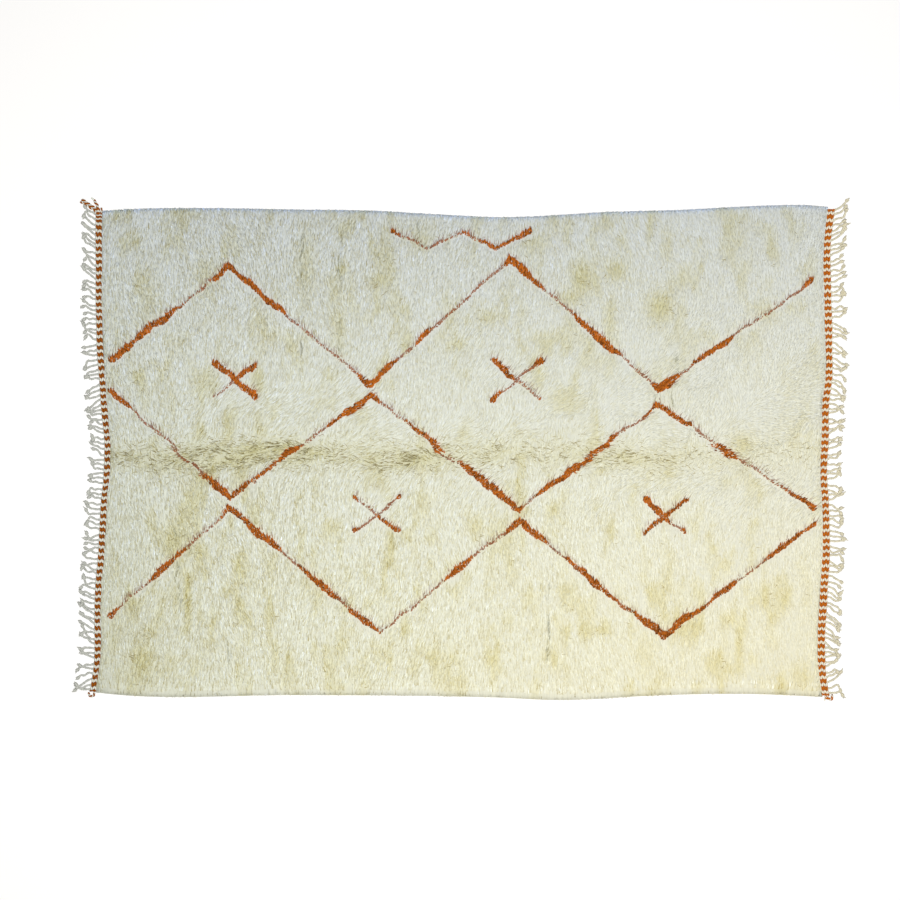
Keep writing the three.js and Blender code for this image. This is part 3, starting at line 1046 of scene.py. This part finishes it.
def make_band(name, yarns, band, width, rows, low, high, seed, crowded=0.0):
    """Rows of two strands that take turns on top; a strand swells where it shows."""
    def drift(k, y):
        return (0.9 * soft_noise(0 * y, y, 1, 0.07, seed)
                + 0.45 * soft_noise(0 * y, y, 1, 0.05, seed + 10 * k)
                + crowded * smooth(np.clip((y - high + 0.06) / 0.06, 0, 1)))

    piece = YarnPiece(name, yarns)
    chance = np.random.default_rng(seed)
    row = (width - EDGE_ROOM) / rows
    start = np.pi / 2 + chance.uniform(-0.2, 0.2)
    for k in range(rows):
        hand = 1 if k % 2 == 0 else -1
        phase = start + chance.uniform(-0.2, 0.2)
        for material, turned, height, thick in TWINED:
            line = row_line(band, (k - (rows - 1) / 2) * row, low, high, seed + k, height * row)
            path, ride = wound(line, SWAY * row, LIFT * row, BLOCK, phase + turned, hand, 9,
                               partial(drift, k))
            uneven = np.repeat(chance.uniform(0.92, 1.1, len(path) // 5 + 1), 5)[:len(path)]
            piece.strand(path, (thick + SWELL * ride) * row * uneven, material)
    for edge in (-1, 1):
        line = row_line(band, edge * (width / 2 - 0.0006), low, high, seed + 9, 0.003)
        piece.strand(wound(line, 0.001, 0.001, 0.011, 0, edge, steps=4)[0], 0.0018, 1)
    return piece


left_piece = make_band("twined_band_left_yarn", LEFT_YARNS, left_band, LEFT_WIDTH, LEFT_ROWS,
                       -0.98, 0.985, 81, crowded=9.0)
right_piece = make_band("twined_band_right_yarn", RIGHT_YARNS, right_band, RIGHT_WIDTH,
                        RIGHT_ROWS, -0.996, 1.003, 91)


# %% [markdown]
# ## Loose ends of the bands
# At the far left corner the twining runs on past the rug as checked tails, one of them split. The
# near corners end in small curls of the same yarn, and the right one shows a pale tip.

# %% Tails and curls
TAIL_HEIGHT = 0.0065
TAIL_START = 1.6


def shifted(points, height):
    return rounded([(x + SHIFT[0], y + SHIFT[1], height) for x, y in points])


def tail(piece, points, half, radius, turn, hand=1):
    """A thick rust and a thinner cream strand wound together."""
    for material, share in enumerate((1.3, 0.85)):
        phase = TAIL_START + material * np.pi
        path, _ = wound(shifted(points, TAIL_HEIGHT), half, half, turn, phase, hand)
        piece.strand(path, radius * share, material)


tail(left_piece, [(-1.489, 0.976), (-1.493, 0.992), (-1.513, 1.006), (-1.537, 1.022),
                  (-1.556, 1.036)], 0.0026, 0.0031, 0.022)
tail(left_piece, [(-1.497, 0.974), (-1.503, 0.99), (-1.52, 1.001), (-1.543, 1.017),
                  (-1.563, 1.027)], 0.0026, 0.0031, 0.022, -1)
tail(left_piece, [(-1.486, 0.98), (-1.491, 1.0), (-1.498, 1.018), (-1.508, 1.033)],
     0.0028, 0.0032, 0.02)
tail(left_piece, [(-1.479, 0.978), (-1.477, 0.99), (-1.476, 1.001)], 0.0016, 0.0026, 0.018)
left_piece.strand(shifted([(-1.506, 1.03), (-1.511, 1.037), (-1.519, 1.042)], 0.005), 0.0036, 1)
tail(left_piece, [(-1.51, -0.975), (-1.506, -0.99), (-1.515, -1.0), (-1.527, -0.995),
                  (-1.531, -0.984)], 0.0024, 0.0028, 0.018)
tail(right_piece, [(1.497, -0.99), (1.5, -1.006), (1.509, -1.013), (1.517, -1.005),
                   (1.515, -0.994)], 0.0026, 0.0031, 0.019)
tail(right_piece, [(1.488, -0.992), (1.49, -1.003), (1.498, -1.011)], 0.002, 0.0027, 0.019)
right_piece.strand(shifted([(1.492, -1.0), (1.488, -1.009), (1.484, -1.017)], 0.005), 0.003, 1)

band_left = left_piece.finish()
band_right = right_piece.finish()


# %% [markdown]
# ## The warp fringe
# The warp threads leave the weave in twos, are plied into cords and knotted at the end. Each cord
# is two strands wound together, then a tight turn and a half of the same yarn as its knot, then a
# short frayed tuft. Neighbours drift together at their tips and lie over each other.

# %% Where the cords swing
CORDS = 96
CORD_HALF = 0.0022
CORD_STRAND = 0.0027
CORD_TURN = 0.015
CORD_ROOT = 0.0052
CORD_LEVEL = 0.0045
CORD_STEP = 0.0056
LEFT_SWING = curve_through([(-0.985, -0.014), (-0.86, 0), (-0.7, 0.034), (-0.56, 0.016),
                            (-0.38, 0.01), (-0.2, 0.006), (-0.06, 0.01), (0.08, 0.022),
                            (0.19, -0.022), (0.33, -0.014), (0.48, 0.002), (0.64, 0.02),
                            (0.8, 0.036), (0.985, 0.03)])
RIGHT_SWING = curve_through([(-0.995, -0.008), (-0.9, 0.026), (-0.76, -0.034), (-0.52, -0.018),
                             (-0.3, -0.008), (-0.06, 0.002), (0.13, 0.014), (0.3, -0.026),
                             (0.47, -0.018), (0.64, 0.008), (0.82, 0.026), (0.995, 0.034)])
LEFT_REACH = curve_through([(-0.985, 0.07), (-0.8, 0.064), (-0.4, 0.064), (0, 0.058),
                            (0.4, 0.058), (0.985, 0.054)])
RIGHT_REACH = curve_through([(-0.995, 0.06), (-0.5, 0.058), (0, 0.06), (0.6, 0.058),
                             (0.985, 0.062)])
print("Each fringe has", CORDS, "cords")


# %% A knot and its tuft
KNOT_TURNS = 1.5
KNOT_LENGTH = 0.009
KNOT_RADIUS = 0.0046
KNOT_STRAND = 0.0036
TUFT_THREADS = 4


def knot_and_tuft(piece, chance, end, ahead, height):
    """A turn and a half of yarn round the cord's end, then a few frayed threads."""
    beside = np.array([-ahead[1], ahead[0], 0])
    full = 2 * np.pi * KNOT_TURNS
    turn = np.linspace(0, full, 14)[:, None]
    start = end - 0.003 * ahead
    coil = (start + ahead * turn / full * KNOT_LENGTH
            + KNOT_RADIUS * (np.cos(turn) * beside + np.sin(turn) * np.array([0, 0, 1.0])))
    coil[:, 2] += height - end[2]
    coil[:, 2] = np.maximum(coil[:, 2], KNOT_STRAND)
    piece.strand(coil, KNOT_STRAND)
    for _ in range(TUFT_THREADS):
        drift = chance.normal(0, 0.003, 3)
        tuft_end = end + ahead * chance.uniform(0.01, 0.015) + drift
        tuft_end[2] = np.clip(tuft_end[2], 0.0018, 0.02)
        middle = (end + tuft_end) / 2 + ahead * 0.002
        piece.strand(np.array([end + 0.003 * ahead, middle, tuft_end]), [0.0024, 0.0022, 0.0008])


# %% Fringe cords
def make_fringe(name, band, width, outward, swing, reach, low, high, material, seed):
    piece = YarnPiece(name, [material], sides=4)
    chance = np.random.default_rng(seed)
    roots = low + (high - low) * (np.arange(CORDS) + 0.5) / CORDS
    roots += chance.normal(0, 0.002, CORDS)
    i = 0
    while i < CORDS:
        size = min(int(chance.choice([1, 2, 2, 3, 3, 4])), CORDS - i)
        group = roots[i:i + size]
        gather = group.mean() + swing(group.mean()) + chance.normal(0, 0.006)
        pull = chance.uniform(0.2, 0.8)
        for k, y in enumerate(group):
            span = (reach(y) - 0.006) * chance.uniform(0.86, 1.08)
            tip_y = (1 - pull) * (y + swing(y)) + pull * gather + chance.normal(0, 0.003)
            root_x = band(y) + outward * (width / 2 - 0.002)
            level = CORD_LEVEL + CORD_STEP * (k % 3) * pull
            hook = chance.normal(0, 0.006)
            stops = [(0, y, CORD_ROOT)]
            for share in (0.3, 0.58, 0.82):
                bow = chance.normal(0, 0.0028) - hook * (share - 0.3)
                stops.append((share, y + (tip_y - y) * share ** 1.3 + bow,
                              CORD_LEVEL + (level - CORD_LEVEL) * share))
            stops.append((1, tip_y + hook, level))
            line = rounded([(root_x + outward * span * share + SHIFT[0], at + SHIFT[1], height)
                            for share, at, height in stops], 20)
            turn = CORD_TURN * chance.uniform(0.9, 1.15)
            piece.two_ply(line, CORD_HALF, CORD_STRAND, turn, steps=6)
            ahead = line[-1] - line[-2]
            ahead[2] = 0
            ahead /= np.linalg.norm(ahead)
            knot_and_tuft(piece, chance, line[-1], ahead, level + 0.001)
        i += size
    return piece.finish()


fringe_left = make_fringe("fringe_left_cords", left_band, LEFT_WIDTH, -1, LEFT_SWING, LEFT_REACH,
                          -0.98, 0.984, LEFT_WARP, 101)
fringe_right = make_fringe("fringe_right_cords", right_band, RIGHT_WIDTH, 1, RIGHT_SWING,
                           RIGHT_REACH, -0.996, 1.0, RIGHT_WARP, 111)


# %% [markdown]
# ## Yarn rests on the floor
# Twined rows are beaten down against the weave, and the left band's more than the right one's, so
# it is pressed to three quarters of its height. Every piece of yarn is then set down, so that it
# rests on the floor and none of it reaches below.

# %% Settle the yarn
LEFT_SQUASH = 0.75


def settle(piece, squash=1):
    co = np.empty(len(piece.data.vertices) * 3, np.float32)
    piece.data.vertices.foreach_get("co", co)
    co = co.reshape(-1, 3)
    co[:, 2] = np.maximum((co[:, 2] - co[:, 2].min()) * squash, 0)
    piece.data.vertices.foreach_set("co", co.ravel())
    piece.data.update()
    print(piece.name, "is", round(1000 * co[:, 2].max(), 1), "mm high")


settle(band_left, LEFT_SQUASH)
settle(band_right)
settle(fringe_left)
settle(fringe_right)


# %% [markdown]
# ## Riding on the rug
# Each piece rides on the rug's one body, and the solids that the pieces dress are hidden.

# %% Ride and replace
locks_and_trim = [*pile_locks, band_left, band_right, fringe_left, fringe_right]
for piece in [ground, *locks_and_trim]:
    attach(piece, "root")
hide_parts("pile")
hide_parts("twined_band_left")
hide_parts("twined_band_right")
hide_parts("fringe_left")
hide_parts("fringe_right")


# %% [markdown]
# ## Floor, light and camera
# The photograph looks straight down on a plain white ground. A big soft light hangs almost
# overhead, a little to the near right, and a weak cool one fills from the far left. A lower light
# would pick out every lock, but the wool's shadows are short and soft. The camera hangs high over
# the middle with a long lens, so the rug keeps its true shape.

# %% Floor
def make_floor():
    shape = bmesh.new()
    bmesh.ops.create_grid(shape, x_segments=1, y_segments=1, size=12)
    bmesh.ops.translate(shape, verts=shape.verts, vec=(0, 0, -0.0005))
    mesh = bpy.data.meshes.new("floor")
    shape.to_mesh(mesh)
    shape.free()
    recipe = Recipe("floor paint")
    mesh.materials.append(recipe.finish(Base_Color=(0.86, 0.86, 0.86, 1), Roughness=0.9,
                                        Specular_IOR_Level=0.1))
    floor = placed("floor", mesh)
    print("The floor is", round(floor.dimensions.x), "metres wide")


make_floor()


# %% Lights
def soft_light(name, place, size, power, colour):
    light = bpy.data.lights.new(name, "AREA")
    light.shape = "DISK"
    light.size, light.energy, light.color = size, power, colour
    lamp = placed(name, light)
    lamp.location = place
    lamp.rotation_euler = (-Vector(place)).to_track_quat("-Z", "Y").to_euler()


soft_light("key", (0.3, -0.6, 9.0), 2.2, 900, (1.0, 0.985, 0.965))
soft_light("fill", (-1.5, 2.0, 9.0), 3.0, 65, (0.95, 0.98, 1.0))
world = bpy.data.worlds.new("studio")
world.use_nodes = True
world.node_tree.nodes["Background"].inputs["Color"].default_value = (1.0, 0.99, 0.97, 1)
world.node_tree.nodes["Background"].inputs["Strength"].default_value = 0.17
bpy.context.scene.world = world
bpy.context.scene.view_settings.view_transform = "Standard"


# %% Camera
PIXEL = 0.0041
IMAGE_PIXELS = 900
MIDDLE_PIXELS = (-11.6, -0.6)
LENS = 85
SENSOR = 36

eye = bpy.data.cameras.new("camera")
eye.lens, eye.sensor_width = LENS, SENSOR
eye.clip_end = 40
camera = placed("camera", eye)
camera.location = (MIDDLE_PIXELS[0] * PIXEL, MIDDLE_PIXELS[1] * PIXEL,
                   IMAGE_PIXELS * PIXEL * LENS / SENSOR)
bpy.context.scene.camera = camera
print("The camera is", round(camera.location.z, 2), "metres above the floor")
